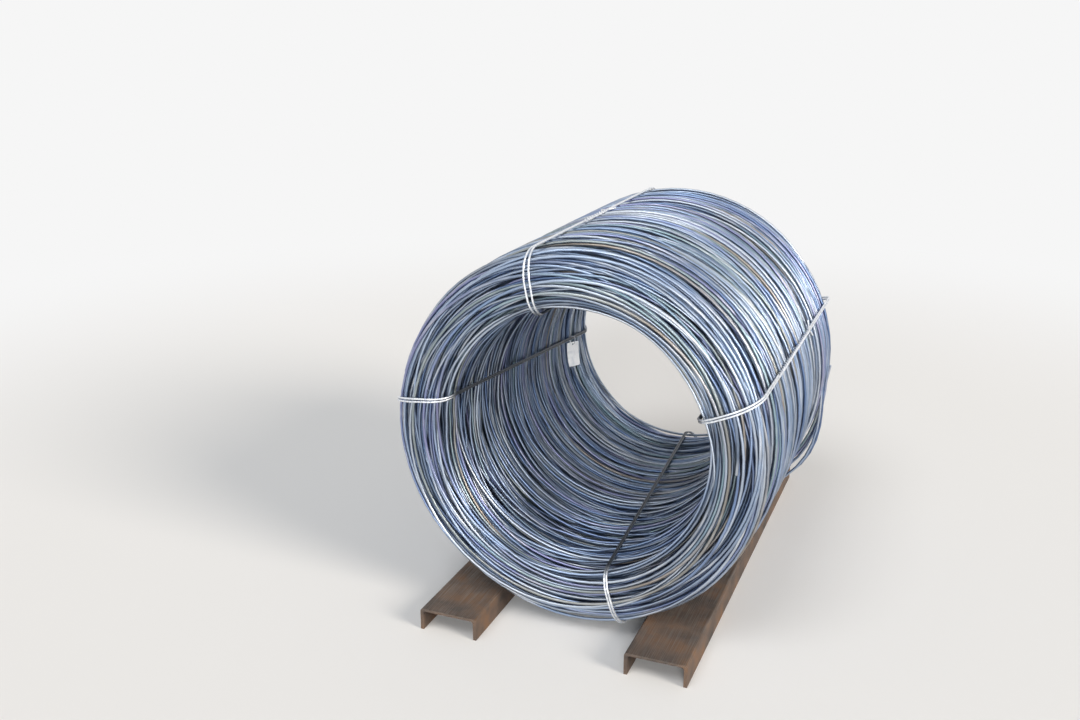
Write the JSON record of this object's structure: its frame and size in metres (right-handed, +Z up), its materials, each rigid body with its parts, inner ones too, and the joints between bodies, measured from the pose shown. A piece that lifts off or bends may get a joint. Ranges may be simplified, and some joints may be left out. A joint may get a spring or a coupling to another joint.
{
  "type": "coil of wire rod",
  "caption": "Hot-rolled steel wire rod laid into a hollow coil, bound with doubled tie wires, lying on its side on two steel skid rails.",
  "frame": {"origin": "on the floor, under the middle of the coil", "axes": "+Z up, +Y along the coil's eye and the skid rails towards the far end, +X to the right as seen from the near end"},
  "size_m": [1.2582, 1.7, 1.2699],
  "materials": {
    "rod": "hot-rolled, blue-grey mill scale",
    "tie_wire": "drawn, bright",
    "label": "matte, blank",
    "skid": "weathered, worn smooth on top"
  },
  "bodies": {
    "root": {"rod_coil": "rod", "tie_left": "tie_wire", "tie_top": "tie_wire", "tie_right": "tie_wire", "tie_bottom": "tie_wire", "label_tag": "label", "label_ring": "tie_wire", "skid_left": "skid", "skid_right": "skid"}
  },
  "joints": []
}
